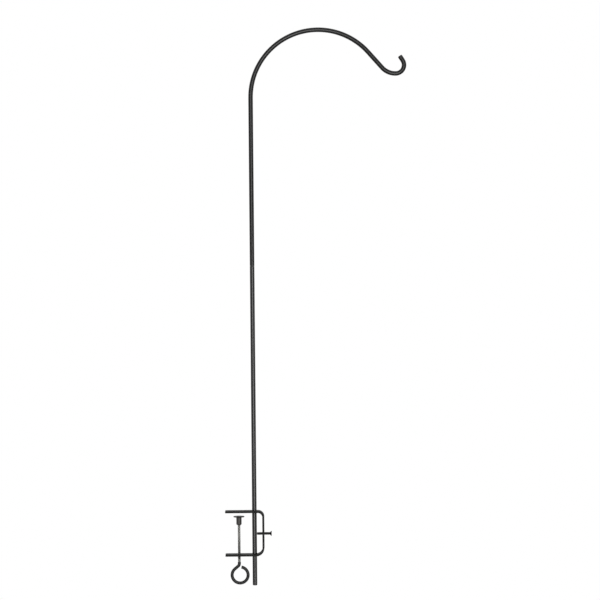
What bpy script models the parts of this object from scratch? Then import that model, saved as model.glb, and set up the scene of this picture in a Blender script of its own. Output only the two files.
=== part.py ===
"""Deck hook: a clamp bracket for a deck rail, a round pole in two sections, and a crook with an open hook.

Lengths are in metres and +Z is up. The crook reaches along +X, and the jaw of the clamp opens along -X.
The origin is on the underside of the bracket's upper arm, on the axis of the clamp screw.
"""

import math

import bmesh
import bpy
from mathutils import Matrix, Vector

# Gaps between pieces, how far a cutter passes the face that it cuts, and how near points are one
SEAT_GAP = 0.0003
RUNNING_GAP = 0.0004
OVERRUN = 0.002
WELD = 0.000003

# Pole and crook, one diameter of round rod
ROD_RADIUS = 0.005
ROD_END_CHAMFER = 0.0012
SEAM_CHAMFER = 0.0005
LOWER_LENGTH = 0.686
TAIL_LENGTH = 0.0635
UPPER_STRAIGHT = 0.362
CROOK_RADIUS = 0.145
CROOK_TURN = math.radians(138.5)
CROOK_RUN = 0.045
EASE_RADIUS = 0.038
EASE_TURN = math.radians(50)
HOOK_RADIUS = 0.0182
HOOK_TURN = math.radians(120.5)
HOOK_TIP = 0.012

# Stud between the two sections
STUD_RADIUS = 0.003
STUD_LENGTH = 0.03
STUD_CHAMFER = 0.0006
DRILL_POINT = math.radians(30)

# Bracket, flat bar bent to a C
BAR_WIDTH = 0.0254
BAR_THICKNESS = 0.004
BAR_EDGE = 0.0005
JAW_HEIGHT = 0.089
ARM_TIP = 0.0293
ARM_CORNER = 0.003
POLE_TO_BACK = 0.017
UPPER_BEND = 0.0095
LOWER_BEND = 0.0135
HOLE_CHAMFER = 0.0005

# Clamp screw, an eye bent from the rod that carries the thread
SCREW_RADIUS = 0.0032
SCREW_TIP = 0.0011
EYE_RADIUS = 0.0172
EYE_OFFSET = 0.0014
EYE_NECK_RADIUS = 0.007
EYE_NECK_RUN = 0.0092
EYE_DROP = 0.0167
EYE_MOUTH = math.radians(80)
EYE_END_CHAMFER = 0.0005
EYE_TO_POLE = 0.0065

# Pressure plate and the socket that it is riveted to
JAW_OPENING = 0.0077
PLATE_RADIUS = 0.01175
PLATE_THICKNESS = 0.002
PLATE_EDGE = 0.0004
PLATE_PLAY = 0.0005
RIVET_RADIUS = 0.0026
RIVET_FLARE = 0.001
SOCKET_RADIUS = 0.0057
SOCKET_LENGTH = 0.0165
SOCKET_SHOULDER = 0.0012
SOCKET_CROWN = 0.0035
SOCKET_LIP = 0.0016

# Pole screw, a countersunk machine screw with a cross recess
POLE_SCREW_RADIUS = 0.003
POLE_SCREW_LENGTH = 0.0315
POLE_SCREW_DROP = 0.0453
POLE_SCREW_POINT = 0.0008
HEAD_RADIUS = 0.0056
HEAD_HEIGHT = 0.0033
HEAD_LAND = 0.0005
RECESS_WIDTH = 0.0011
RECESS_DEPTH = 0.0022
RECESS_REACH = 0.003
RECESS_FLOOR_SHARES = (0.4, 0.7, 1)

# How finely round shapes are divided
TURNED_SIDES = 32
ROD_RESOLUTION = 8
WIRE_RESOLUTION = 6
CROOK_STEP = math.radians(5)
EYE_STEP = math.radians(9)
BAR_BEND_STEPS = 12
ARM_CORNER_STEPS = 6
BAR_EDGE_STEPS = 2
BAR_EDGE_ANGLE = math.radians(60)
SMOOTH_ANGLE = math.radians(35)

# Places that follow from the sizes
POLE_X = EYE_OFFSET + EYE_RADIUS + SCREW_RADIUS + EYE_TO_POLE + ROD_RADIUS
BACK_X = POLE_X + POLE_TO_BACK
LOWER_ARM_TOP = -JAW_HEIGHT
LOWER_ARM_UNDER = -JAW_HEIGHT - BAR_THICKNESS
POLE_BOTTOM = LOWER_ARM_UNDER - TAIL_LENGTH
SEAM_Z = POLE_BOTTOM + LOWER_LENGTH
POLE_SCREW_Z = -POLE_SCREW_DROP
POLE_SCREW_X = POLE_X + ROD_RADIUS + SEAT_GAP
PLATE_TOP = -JAW_OPENING
PLATE_UNDER = PLATE_TOP - PLATE_THICKNESS
SOCKET_TOP = PLATE_UNDER - PLATE_PLAY
SOCKET_BOTTOM = SOCKET_TOP - SOCKET_LENGTH
SCREW_TOP = SOCKET_TOP - SOCKET_CROWN - SEAT_GAP
NECK_Z = LOWER_ARM_UNDER - EYE_DROP
EYE_Z = NECK_Z - math.sqrt(
    (EYE_NECK_RADIUS + EYE_RADIUS) ** 2 + EYE_NECK_RUN**2 - (EYE_NECK_RADIUS + EYE_OFFSET) ** 2
)


def clear_scene():
    for obj in list(bpy.data.objects):
        bpy.data.objects.remove(obj, do_unlink=True)


def new_collection(name):
    found = bpy.data.collections.new(name)
    bpy.context.scene.collection.children.link(found)
    return found


def finish(name, colour, roughness, metallic):
    """A material with the colour and the shine of one finish."""
    material = bpy.data.materials.new(name)
    material.use_nodes = True
    shader = material.node_tree.nodes["Principled BSDF"]
    shader.inputs["Base Color"].default_value = (*colour, 1)
    shader.inputs["Roughness"].default_value = roughness
    shader.inputs["Metallic"].default_value = metallic
    material.diffuse_color = (*colour, 1)
    return material


def object_of(name, mesh, collection, place=(0, 0, 0), material=None):
    obj = bpy.data.objects.new(name, mesh)
    obj.location = place
    if material:
        mesh.materials.append(material)
    collection.objects.link(obj)
    return obj


def smooth(obj):
    obj.data.shade_smooth()
    obj.data.set_sharp_from_angle(angle=SMOOTH_ANGLE)


def mesh_of(name, shape):
    mesh = bpy.data.meshes.new(name)
    shape.to_mesh(mesh)
    shape.free()
    return mesh


def bent_path(x, z, heading, moves):
    """Points in the XZ plane along runs and tangent bends.

    A run is (length,), and a bend is (radius, turn, step): a positive turn goes left of the heading.
    """
    points = [Vector((x, 0, z))]
    for move in moves:
        along = Vector((math.cos(heading), 0, math.sin(heading)))
        if len(move) == 1:
            points.append(points[-1] + along * move[0])
            continue
        radius, turn, step = move
        side = math.copysign(radius, turn)
        centre = points[-1] + side * Vector((-along.z, 0, along.x))
        count = math.ceil(abs(turn) / step)
        for k in range(1, count + 1):
            angle = heading + turn * k / count
            points.append(centre - side * Vector((-math.sin(angle), 0, math.cos(angle))))
        heading += turn
    return points


def pull_back(points, chamfer):
    """The path with one more point before its end, where the end's chamfer starts."""
    back = (points[-2] - points[-1]).normalized() * chamfer
    return points[:-1] + [points[-1] + back, points[-1]]


def bent_rod(name, points, radius, chamfers, resolution, collection, place, material):
    """A round rod along a path, with its two ends chamfered: a curve made a mesh with its caps welded."""
    points = pull_back(points, chamfers[1])
    points = pull_back(points[::-1], chamfers[0])[::-1]
    curve = bpy.data.curves.new(name + "_path", "CURVE")
    curve.dimensions = "3D"
    curve.bevel_depth = radius
    curve.bevel_resolution = resolution
    curve.use_fill_caps = True
    spline = curve.splines.new("POLY")
    spline.points.add(len(points) - 1)
    for spot, point in zip(spline.points, points):
        spot.co = (*point, 1)
    spline.points[0].radius = 1 - chamfers[0] / radius
    spline.points[-1].radius = 1 - chamfers[1] / radius
    path = object_of(name + "_path", curve, collection)
    bpy.context.view_layer.update()
    graph = bpy.context.evaluated_depsgraph_get()
    mesh = bpy.data.meshes.new_from_object(path.evaluated_get(graph))
    shape = bmesh.new()
    shape.from_mesh(mesh)
    bmesh.ops.remove_doubles(shape, verts=shape.verts, dist=WELD)
    bmesh.ops.recalc_face_normals(shape, faces=shape.faces)
    shape.to_mesh(mesh)
    shape.free()
    bpy.data.objects.remove(path)
    mesh.name = name
    rod = object_of(name, mesh, collection, place, material)
    smooth(rod)
    return rod


def turned(name, profile, collection, place=(0, 0, 0), material=None):
    """A turned piece: a profile of (radius, height), run down its outer side, spun about Z."""
    shape = bmesh.new()
    spots = [shape.verts.new((r, 0, z)) for r, z in profile]
    for a, b in zip(spots, spots[1:]):
        shape.edges.new((a, b))
    obj = object_of(name, mesh_of(name, shape), collection, place, material)
    screw = obj.modifiers.new("Turn", "SCREW")
    screw.steps = screw.render_steps = TURNED_SIDES
    screw.use_merge_vertices = True
    screw.merge_threshold = WELD
    smooth(obj)
    return obj


def as_cutter(obj):
    obj.hide_render = True
    obj.display_type = "WIRE"
    return obj


def cut(obj, cutter):
    bite = obj.modifiers.new("Cut " + cutter.name, "BOOLEAN")
    bite.operation = "DIFFERENCE"
    bite.object = cutter


def bar_line():
    """The jaw side of the bent bar, from the tip of the upper arm round to the tip of the lower one."""
    step = math.pi / 2 / BAR_BEND_STEPS
    return bent_path(
        -ARM_TIP,
        0,
        0,
        [
            (ARM_TIP + BACK_X - UPPER_BEND,),
            (UPPER_BEND, -math.pi / 2, step),
            (JAW_HEIGHT - UPPER_BEND - LOWER_BEND,),
            (LOWER_BEND, -math.pi / 2, step),
            (ARM_TIP + BACK_X - LOWER_BEND,),
        ],
    )


def hole_cutter(name, radius, faces, cutters, place):
    """A cutter along Z for a hole through a wall between two faces, with both rims chamfered."""
    high, low = faces
    wide = radius + HOLE_CHAMFER + OVERRUN
    profile = [
        (0, high + OVERRUN),
        (wide, high + OVERRUN),
        (radius, high - HOLE_CHAMFER),
        (radius, low + HOLE_CHAMFER),
        (wide, low - OVERRUN),
        (0, low - OVERRUN),
    ]
    return as_cutter(turned(name, profile, cutters, place))


def bar_strip():
    """The jaw side of the bar as a sheet, swept across its width, with the corners of its tips rounded."""
    shape = bmesh.new()
    line = [shape.verts.new((p.x, -BAR_WIDTH / 2, p.z)) for p in bar_line()]
    edges = [shape.edges.new(pair) for pair in zip(line, line[1:])]
    swept = bmesh.ops.extrude_edge_only(shape, edges=edges)["geom"]
    across = [v for v in swept if isinstance(v, bmesh.types.BMVert)]
    bmesh.ops.translate(shape, verts=across, vec=(0, BAR_WIDTH, 0))
    corners = [v for v in shape.verts if len(v.link_edges) == 2]
    bmesh.ops.bevel(
        shape,
        geom=corners,
        offset=ARM_CORNER,
        segments=ARM_CORNER_STEPS,
        profile=0.5,
        affect="VERTICES",
        material=-1,
    )
    return mesh_of("bracket", shape)


def make_bracket(parts, cutters, material):
    """The bent bar: the strip thickened outwards, its edges eased, and bored."""
    bracket = object_of("bracket", bar_strip(), parts, material=material)
    wall = bracket.modifiers.new("Bar", "SOLIDIFY")
    wall.thickness = BAR_THICKNESS
    wall.offset = -1
    wall.use_even_offset = True
    eased = bracket.modifiers.new("Eased edges", "BEVEL")
    eased.width = BAR_EDGE
    eased.segments = BAR_EDGE_STEPS
    eased.limit_method = "ANGLE"
    eased.angle_limit = BAR_EDGE_ANGLE

    rod_hole = ROD_RADIUS + RUNNING_GAP
    upper = (BAR_THICKNESS, 0)
    lower = (LOWER_ARM_TOP, LOWER_ARM_UNDER)
    cut(bracket, hole_cutter("upper_pole_hole", rod_hole, upper, cutters, (POLE_X, 0, 0)))
    cut(bracket, hole_cutter("lower_pole_hole", rod_hole, lower, cutters, (POLE_X, 0, 0)))
    cut(bracket, hole_cutter("clamp_hole", SCREW_RADIUS + RUNNING_GAP, lower, cutters, (0, 0, 0)))
    back = (BACK_X + BAR_THICKNESS, BACK_X)
    place = (0, 0, POLE_SCREW_Z)
    side = hole_cutter("pole_screw_hole", POLE_SCREW_RADIUS + RUNNING_GAP, back, cutters, place)
    side.rotation_euler.y = math.pi / 2
    cut(bracket, side)
    smooth(bracket)
    bracket.modifiers.new("Even shading", "WEIGHTED_NORMAL").keep_sharp = True
    return bracket


def stud_bore(depth, mouth):
    """The half profile of a blind hole for the stud, from its drilled point up to its mouth."""
    radius = STUD_RADIUS + SEAT_GAP
    point = radius * math.tan(DRILL_POINT)
    return [(0, mouth - depth - point), (radius, mouth - depth), (radius, mouth)]


def make_lower_pole(parts, material):
    """The straight section: chamfered at both ends, and bored at the top for half of the stud."""
    profile = stud_bore(STUD_LENGTH / 2 + SEAT_GAP, SEAM_Z) + [
        (ROD_RADIUS - SEAM_CHAMFER, SEAM_Z),
        (ROD_RADIUS, SEAM_Z - SEAM_CHAMFER),
        (ROD_RADIUS, POLE_BOTTOM + ROD_END_CHAMFER),
        (ROD_RADIUS - ROD_END_CHAMFER, POLE_BOTTOM),
        (0, POLE_BOTTOM),
    ]
    return turned("lower_pole", profile, parts, (POLE_X, 0, 0), material)


def make_crook(parts, cutters, material):
    """The upper section: straight, then the crook, the run, the easing bend and the open hook."""
    start = SEAM_Z + SEAT_GAP
    points = bent_path(
        0,
        start,
        math.pi / 2,
        [
            (UPPER_STRAIGHT - SEAT_GAP,),
            (CROOK_RADIUS, -CROOK_TURN, CROOK_STEP),
            (CROOK_RUN,),
            (EASE_RADIUS, EASE_TURN, CROOK_STEP),
            (HOOK_RADIUS, HOOK_TURN, CROOK_STEP),
            (HOOK_TIP,),
        ],
    )
    ends = (SEAM_CHAMFER, ROD_END_CHAMFER)
    place = (POLE_X, 0, 0)
    crook = bent_rod("crook", points, ROD_RADIUS, ends, ROD_RESOLUTION, parts, place, material)
    bore = stud_bore(STUD_LENGTH / 2 + SEAT_GAP, 0)
    below = bore + [(bore[-1][0], OVERRUN), (0, OVERRUN)]
    profile = [(r, start - z) for r, z in below]
    cut(crook, as_cutter(turned("stud_hole", profile, cutters, place)))
    return crook


def make_pole_stud(parts, material):
    """The headless stud, half in each section."""
    half = STUD_LENGTH / 2
    middle = SEAM_Z + SEAT_GAP / 2
    inner = STUD_RADIUS - STUD_CHAMFER
    profile = [
        (0, middle + half),
        (inner, middle + half),
        (STUD_RADIUS, middle + half - STUD_CHAMFER),
        (STUD_RADIUS, middle - half + STUD_CHAMFER),
        (inner, middle - half),
        (0, middle - half),
    ]
    return turned("pole_stud", profile, parts, (POLE_X, 0, 0), material)


def make_clamp_screw(parts, material):
    """The eye screw: a straight shank, a neck that bends off to one side and runs into the round eye."""
    to_eye = math.atan2(NECK_Z - EYE_Z, EYE_NECK_RADIUS + EYE_OFFSET)
    neck_turn = to_eye - math.atan2(EYE_NECK_RUN, EYE_NECK_RADIUS + EYE_RADIUS)
    eye_turn = math.pi + neck_turn + EYE_MOUTH
    points = bent_path(
        0,
        SCREW_TOP,
        -math.pi / 2,
        [
            (SCREW_TOP - NECK_Z,),
            (EYE_NECK_RADIUS, -neck_turn, EYE_STEP),
            (EYE_NECK_RUN,),
            (EYE_RADIUS, eye_turn, EYE_STEP),
        ],
    )
    ends = (SCREW_TIP, EYE_END_CHAMFER)
    return bent_rod(
        "clamp_screw", points, SCREW_RADIUS, ends, WIRE_RESOLUTION, parts, (0, 0, 0), material
    )


def make_pressure_plate(parts, material):
    """The round plate, countersunk on top for the head of the rivet that it rocks on."""
    hole = RIVET_RADIUS + PLATE_PLAY
    profile = [
        (hole, PLATE_UNDER),
        (hole, PLATE_TOP - RIVET_FLARE),
        (hole + RIVET_FLARE, PLATE_TOP),
        (PLATE_RADIUS - PLATE_EDGE, PLATE_TOP),
        (PLATE_RADIUS, PLATE_TOP - PLATE_EDGE),
        (PLATE_RADIUS, PLATE_UNDER + PLATE_EDGE),
        (PLATE_RADIUS - PLATE_EDGE, PLATE_UNDER),
        (hole, PLATE_UNDER),
    ]
    return turned("pressure_plate", profile, parts, material=material)


def make_swivel_socket(parts, material):
    """The sleeve on the tip of the clamp screw. The rivet on its crown is spread loosely into the plate."""
    head = PLATE_TOP - PLATE_PLAY
    bore = SCREW_RADIUS + RUNNING_GAP
    profile = [
        (0, head),
        (RIVET_RADIUS + RIVET_FLARE - PLATE_PLAY, head),
        (RIVET_RADIUS, PLATE_TOP - RIVET_FLARE),
        (RIVET_RADIUS, SOCKET_TOP),
        (SOCKET_RADIUS - SOCKET_SHOULDER, SOCKET_TOP),
        (SOCKET_RADIUS, SOCKET_TOP - SOCKET_SHOULDER),
        (SOCKET_RADIUS, SOCKET_BOTTOM + SOCKET_LIP),
        (bore + HOLE_CHAMFER, SOCKET_BOTTOM),
        (bore, SOCKET_BOTTOM + HOLE_CHAMFER),
        (bore, SOCKET_TOP - SOCKET_CROWN),
        (0, SOCKET_TOP - SOCKET_CROWN),
    ]
    return turned("swivel_socket", profile, parts, material=material)


def make_pole_screw(parts, cutters, material):
    """The countersunk screw: its point bears on the pole, and its head ends in a cross recess."""
    end = POLE_SCREW_LENGTH
    profile = [
        (0, end),
        (HEAD_RADIUS, end),
        (HEAD_RADIUS, end - HEAD_LAND),
        (POLE_SCREW_RADIUS, end - HEAD_HEIGHT),
        (POLE_SCREW_RADIUS, POLE_SCREW_POINT),
        (POLE_SCREW_RADIUS - POLE_SCREW_POINT, 0),
        (0, 0),
    ]
    place = (POLE_SCREW_X, 0, POLE_SCREW_Z)
    screw = turned("pole_screw", profile, parts, place, material)
    screw.rotation_euler.y = math.pi / 2
    for name, turn in (("recess_across", 0), ("recess_upright", math.pi / 2)):
        recess = recess_cutter(name, turn, cutters)
        recess.location = place
        recess.rotation_euler.y = math.pi / 2
        cut(screw, recess)
    return screw


def recess_cutter(name, turn, cutters):
    """One slot of the cross recess, narrower and shorter towards its bottom."""
    shape = bmesh.new()
    bmesh.ops.create_cube(shape, size=1)
    tall = RECESS_DEPTH + OVERRUN
    middle = POLE_SCREW_LENGTH + (OVERRUN - RECESS_DEPTH) / 2
    bmesh.ops.scale(shape, verts=shape.verts, vec=(2 * RECESS_REACH, RECESS_WIDTH, tall))
    deep = [v for v in shape.verts if v.co.z < 0]
    bmesh.ops.scale(shape, verts=deep, vec=RECESS_FLOOR_SHARES)
    bmesh.ops.translate(shape, verts=shape.verts, vec=(0, 0, middle))
    bmesh.ops.rotate(shape, verts=shape.verts, cent=(0, 0, 0), matrix=Matrix.Rotation(turn, 3, "Z"))
    return as_cutter(object_of(name, mesh_of(name, shape), cutters))


def main():
    clear_scene()
    parts = new_collection("Deck hook")
    cutters = new_collection("Cutters")
    black = finish("Black powder coat", (0.028, 0.028, 0.027), 0.42, 0.0)
    zinc = finish("Zinc plate", (0.52, 0.52, 0.50), 0.38, 0.9)
    dark_steel = finish("Blackened steel", (0.035, 0.034, 0.033), 0.45, 0.6)

    make_bracket(parts, cutters, black)
    make_lower_pole(parts, black)
    make_crook(parts, cutters, black)
    make_pole_stud(parts, zinc)
    make_clamp_screw(parts, zinc)
    make_pressure_plate(parts, dark_steel)
    make_swivel_socket(parts, dark_steel)
    make_pole_screw(parts, cutters, dark_steel)


if __name__ == "__main__":
    main()
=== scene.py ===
"""Deck hook: the finished look of a clamp bracket, a round pole, and a crook with an open hook.

Lengths are in metres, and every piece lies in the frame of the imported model: +Z up, the crook along +X.
"""

import math

import bmesh
import bpy
from bpy.props import FloatProperty, FloatVectorProperty, IntProperty, PointerProperty
from mathutils import Matrix, Vector


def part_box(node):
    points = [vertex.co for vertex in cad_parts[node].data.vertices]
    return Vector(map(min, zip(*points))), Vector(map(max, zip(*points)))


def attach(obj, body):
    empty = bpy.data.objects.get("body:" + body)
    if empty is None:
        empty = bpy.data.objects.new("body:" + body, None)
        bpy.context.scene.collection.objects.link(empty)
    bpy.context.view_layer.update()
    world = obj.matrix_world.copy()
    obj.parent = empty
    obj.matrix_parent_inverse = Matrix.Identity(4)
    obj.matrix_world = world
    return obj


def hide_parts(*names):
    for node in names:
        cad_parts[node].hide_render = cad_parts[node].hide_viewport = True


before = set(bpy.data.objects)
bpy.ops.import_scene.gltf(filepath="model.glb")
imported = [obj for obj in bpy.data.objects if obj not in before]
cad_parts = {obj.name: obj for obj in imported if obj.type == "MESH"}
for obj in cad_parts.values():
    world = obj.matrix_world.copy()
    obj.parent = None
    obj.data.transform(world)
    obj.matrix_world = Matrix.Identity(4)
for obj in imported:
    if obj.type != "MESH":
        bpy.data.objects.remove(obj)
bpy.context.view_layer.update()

bl_info = {
    "name": "Deck hook",
    "version": (1, 0, 0),
    "blender": (4, 5, 0),
    "location": "View3D > Sidebar > Deck hook",
    "description": "Builds a rail-clamp deck hook, piece by piece, with its finishes and a stage",
    "category": "Object",
}

# The corners of each node that gives a piece its place and size
POLE_LOW, POLE_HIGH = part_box("lower_pole")
CROOK_LOW, CROOK_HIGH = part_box("crook")
BAR_LOW, BAR_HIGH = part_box("bracket")
EYE_LOW, EYE_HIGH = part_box("clamp_screw")
PLATE_LOW, PLATE_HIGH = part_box("pressure_plate")
SOCKET_LOW, SOCKET_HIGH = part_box("swivel_socket")
SET_LOW, SET_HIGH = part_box("pole_screw")

POLE_X = (POLE_LOW.x + POLE_HIGH.x) / 2
ROD_RADIUS = (POLE_HIGH.x - POLE_LOW.x) / 2
SEAM_Z = POLE_HIGH.z
SET_Z = (SET_LOW.z + SET_HIGH.z) / 2
WIRE_RADIUS = (EYE_HIGH.y - EYE_LOW.y) / 2
EYE_RADIUS = (EYE_HIGH.x - EYE_LOW.x) / 2 - WIRE_RADIUS
EYE_X = (EYE_LOW.x + EYE_HIGH.x) / 2
EYE_Z = EYE_LOW.z + WIRE_RADIUS + EYE_RADIUS
Y_AXIS = Vector((0, 1, 0))
Z_AXIS = Vector((0, 0, 1))

# Points closer than this are one point
MERGE = 0.000002
# Length of the band at each end of a straight or flat part, which keeps the shading of a bend off the rest
BAND = 0.0022
# Edges that fold by more than this stay sharp
SHARP_ANGLE = math.radians(38)
# Edges of the bar that fold by more than this are rounded, which leaves its bends alone
EASED_ANGLE = math.radians(50)
# Slope of the point that a drill leaves at the bottom of its hole
DRILL_SLOPE = math.radians(31)
# Rounding of the eye's end, as a share of its wire's radius
EYE_END_SHARE = 1 / 5
# Reach of the cross in the pole screw's head, as a share of the face that it is cut from
CROSS_SHARE = 0.9

# Sides of the rods, the wire and the pole screw, of the plate and its socket, of a thread, and of the floor
RING_SIDES = 48
TURNED_SIDES = 64
THREAD_SIDES = 28
FLOOR_SIDES = 96
# Steps in a rounded rim, in a corner and an edge of the bar, and cuts between two corners of a hole's start
RIM_STEPS = 4
CORNER_STEPS = 8
EDGE_STEPS = 3
HOLE_CUTS = 11

# Profile of a thread as shares of its pitch: a root, a flank, a crest, and a flank back to the root
ROOT_SHARE = 1 / 4
FLANK_SHARE = 5 / 16
CREST_SHARE = 1 / 8
# Turns that a thread has to spare below its low end and above its high end before it is cut
SPARE_TURNS = 2

# Most of a noise's values lie between these two
NOISE_LOW = 0.3
NOISE_HIGH = 0.7
# Heights of the finest relief: orange peel, powder grain, waves and pits of the dip, mottle and streaks of
# the zinc, and lathe rings
PEEL_HEIGHT = 0.00004
GRAIN_HEIGHT = 0.00001
WAVE_HEIGHT = 0.0003
PIT_HEIGHT = 0.00003
MOTTLE_HEIGHT = 0.00002
STREAK_HEIGHT = 0.000006
LATHE_HEIGHT = 0.000012
# Sockets of a Mix node of colours, whose names several sockets share
MIX_A = 6
MIX_B = 7
MIX_RESULT = 2


def length(name, about, default):
    """A length that the user may change."""
    return FloatProperty(name=name, description=about, default=default, min=0, unit="LENGTH", precision=5)


def turn(name, about, degrees):
    """An angle that the user may change, given in degrees."""
    return FloatProperty(name=name, description=about, default=math.radians(degrees), subtype="ANGLE")


def share(name, about, default):
    """A share from 0 to 1 that the user may change."""
    return FloatProperty(name=name, description=about, default=default, min=0, max=1, subtype="FACTOR")


def colour(name, about, default):
    """A colour that the user may change."""
    return FloatVectorProperty(
        name=name, description=about, default=default, size=3, min=0, max=1, subtype="COLOR"
    )


def power(name, about, default):
    """A lamp's power that the user may change."""
    return FloatProperty(name=name, description=about, default=default, min=0, unit="POWER")


def offset(name, about, default):
    """A way from one place to another that the user may change."""
    return FloatVectorProperty(
        name=name, description=about, default=default, size=3, subtype="XYZ", unit="LENGTH"
    )


class RodSizes(bpy.types.PropertyGroup):
    """The bends of the crook and the ends of both rods."""

    crook_radius: length("Crook radius", "Radius of the big bend, to the rod's middle", 0.145)
    crook_turn: turn("Crook turn", "How far the big bend turns", 138.5)
    crook_run: length("Crook run", "Straight run between the big bend and the hook", 0.045)
    ease_radius: length("Ease radius", "Radius of the bend that leads into the hook", 0.038)
    ease_turn: turn("Ease turn", "How far that bend turns", 50)
    hook_radius: length("Hook radius", "Radius of the hook, to the rod's middle", 0.0182)
    hook_turn: turn("Hook turn", "How far the hook turns", 120.5)
    hook_tip: length("Hook tip", "Straight end after the hook", 0.012)
    end_round: length("End round", "Rounding of the rods' free ends", 0.0019)
    seam_round: length("Seam round", "Rounding where the two rods meet", 0.0004)
    bore_radius: length("Bore radius", "Radius of the hole for the stud", 0.0033)
    bore_depth: length("Bore depth", "Depth of that hole in each rod", 0.0155)
    bend_step: turn("Bend step", "Angle between rings in a bend", 2.5)


class BracketSizes(bpy.types.PropertyGroup):
    """The bent bar."""

    upper_bend: length("Upper bend", "Inner radius of the upper bend", 0.0095)
    lower_bend: length("Lower bend", "Inner radius of the lower bend", 0.0135)
    corner: length("Corner", "Radius of the corners of the arms' tips", 0.003)
    edge: length("Edge", "Rounding along the bar's edges", 0.0008)
    pole_hole: length("Pole hole", "Radius of the holes for the pole", 0.0054)
    clamp_hole: length("Clamp hole", "Radius of the hole for the clamp screw", 0.0034)
    set_hole: length("Pole screw hole", "Radius of the hole for the pole screw", 0.0032)
    folds: IntProperty(name="Folds", description="Flats in each bend", default=16, min=2)


class ClampSizes(bpy.types.PropertyGroup):
    """The eye screw, its socket and its plate."""

    pitch: length("Thread pitch", "Rise of the thread in one turn", 0.00127)
    thread_radius: length("Thread radius", "Radius at the thread's crests", 0.0031)
    thread_depth: length("Thread depth", "Depth of the thread", 0.00062)
    dip_line: length("Dip line", "Bare thread left between the lower arm and the eye's coat", 0.0132)
    # These two lengths set the painted shade that darkens the thread above and below the lower arm's
    # underside
    shade_rise: length("Shade rise", "How far the thread is shaded above the lower arm's underside", 0.045)
    shade_drop: length("Shade drop", "How far the thread is shaded below it", 0.0085)
    dip_coat: length("Dip coat", "How far the eye's coat stands above the wire", 0.00015)
    neck_radius: length("Neck radius", "Radius of the bend below the shank", 0.007)
    neck_run: length("Neck run", "Straight run between that bend and the eye", 0.0092)
    mouth: turn("Eye mouth", "How far the eye runs on past its right side", 80)
    bend_step: turn("Bend step", "Angle between rings in a bend", 4)
    plate_edge: length("Plate edge", "Rounding of the plate's rim", 0.0006)
    plate_hole: length("Plate hole", "Radius of the plate's hole for the rivet", 0.0031)
    rivet: length("Rivet", "Radius of the rivet", 0.0026)
    rivet_head: length("Rivet head", "Radius of the rivet's spread head", 0.0031)
    flare: length("Flare", "Depth of the plate's countersink", 0.001)
    play: length("Play", "Free play between the plate and its socket", 0.0005)
    shoulder: length("Shoulder", "Rounding of the socket's shoulder", 0.0013)
    lip: length("Lip", "Height of the crimped lip at the socket's mouth", 0.0018)
    lip_wall: length("Lip wall", "Wall left at the end of the lip", 0.0006)
    slack: length("Slack", "Clearance round the thread in the socket", 0.0003)


class PoleScrewSizes(bpy.types.PropertyGroup):
    """The countersunk screw in the back of the bracket."""

    pitch: length("Thread pitch", "Rise of the thread in one turn", 0.0008)
    thread_radius: length("Thread radius", "Radius at the thread's crests", 0.003)
    thread_depth: length("Thread depth", "Depth of the thread", 0.0004)
    point: length("Point", "Chamfer of the tip", 0.0008)
    head_height: length("Head height", "Height of the countersunk head", 0.0033)
    head_land: length("Head land", "Height of the head's straight rim", 0.0005)
    head_edge: length("Head edge", "Rounding of the head's outer edge", 0.0003)
    recess_face: length("Recess face", "Radius of the flat face that the cross is cut from", 0.0029)
    recess_width: length("Recess width", "Width of one arm of the cross", 0.0011)
    recess_depth: length("Recess depth", "Depth of the cross", 0.0022)
    floor_share: share("Recess floor", "Size of the cross's floor as a share of its mouth", 0.45)


class Finishes(bpy.types.PropertyGroup):
    """Colours of the finishes."""

    coat: colour("Rod coat", "Satin black coat of the two rods", (0.006, 0.006, 0.0058))
    crook_shine: share("Crook shine", "Specular level of the upper rod's coat", 0.18)
    pole_shine: share("Pole shine", "Specular level of the lower rod's coat", 0.3)
    bar_coat: colour("Bar coat", "Duller black coat of the bracket", (0.0098, 0.0098, 0.0094))
    dip: colour("Dip coat", "Black coat of the eye", (0.0085, 0.0085, 0.0082))
    zinc: colour("Zinc", "Dull zinc plate of the thread", (0.47, 0.47, 0.445))
    oxide: colour("Black oxide", "Blackened steel of the socket", (0.03, 0.029, 0.028))
    dark_oxide: colour("Dark oxide", "Blacker steel of the plate and the pole screw", (0.01, 0.0098, 0.0095))


class StageSettings(bpy.types.PropertyGroup):
    """Camera, lamps and floor."""

    distance: length("Camera distance", "From the camera to the plane of the hook", 4.0)
    width: length("Framed width", "Width of that plane that the picture holds", 1.29)
    centre_x: length("Centre across", "Place in the plane at the picture's middle, along X", 0.1356)
    centre_z: length("Centre up", "Place in the plane at the picture's middle, along Z", 0.4558)
    roll: turn("Roll", "Lean of the picture", 0.53)
    floor_drop: length("Floor drop", "From the rail seat down to the floor", 1.07)
    floor_radius: length("Floor radius", "Radius of the floor", 4.6)
    floor_tone: share("Floor tone", "Lightness of the floor", 0.86)
    fade_start: length("Fade start", "Where the floor starts to fade to white, from its middle", 0.6)
    fade_least: share("Least fade", "How far the floor has faded at its middle", 0.55)
    fade_end: share("Fade end", "Where the floor is white, as a share of its radius", 0.9)
    key_power: power("Key power", "Power of the front lamp", 105.0)
    key_width: length("Key width", "Width of the front lamp", 1.6)
    key_height: length("Key height", "Height of the front lamp", 2.4)
    key_way: offset("Key way", "From the picture's middle to the front lamp", (0.4, -3.4, -0.1))
    panel: length("Panel", "Width of the lamps above and behind", 2.0)
    top_power: power("Top power", "Power of the lamp above", 6.0)
    top_way: offset("Top way", "From the picture's middle to the lamp above", (0.3, -0.8, 3.0))
    back_power: power("Back power", "Power of the lamp behind", 30.0)
    back_way: offset("Back way", "From the picture's middle to the lamp behind", (-1.0, 2.4, 2.4))
    ambient: share("Ambient", "Strength of the light from all round, where 1 is white", 0.12)


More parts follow.
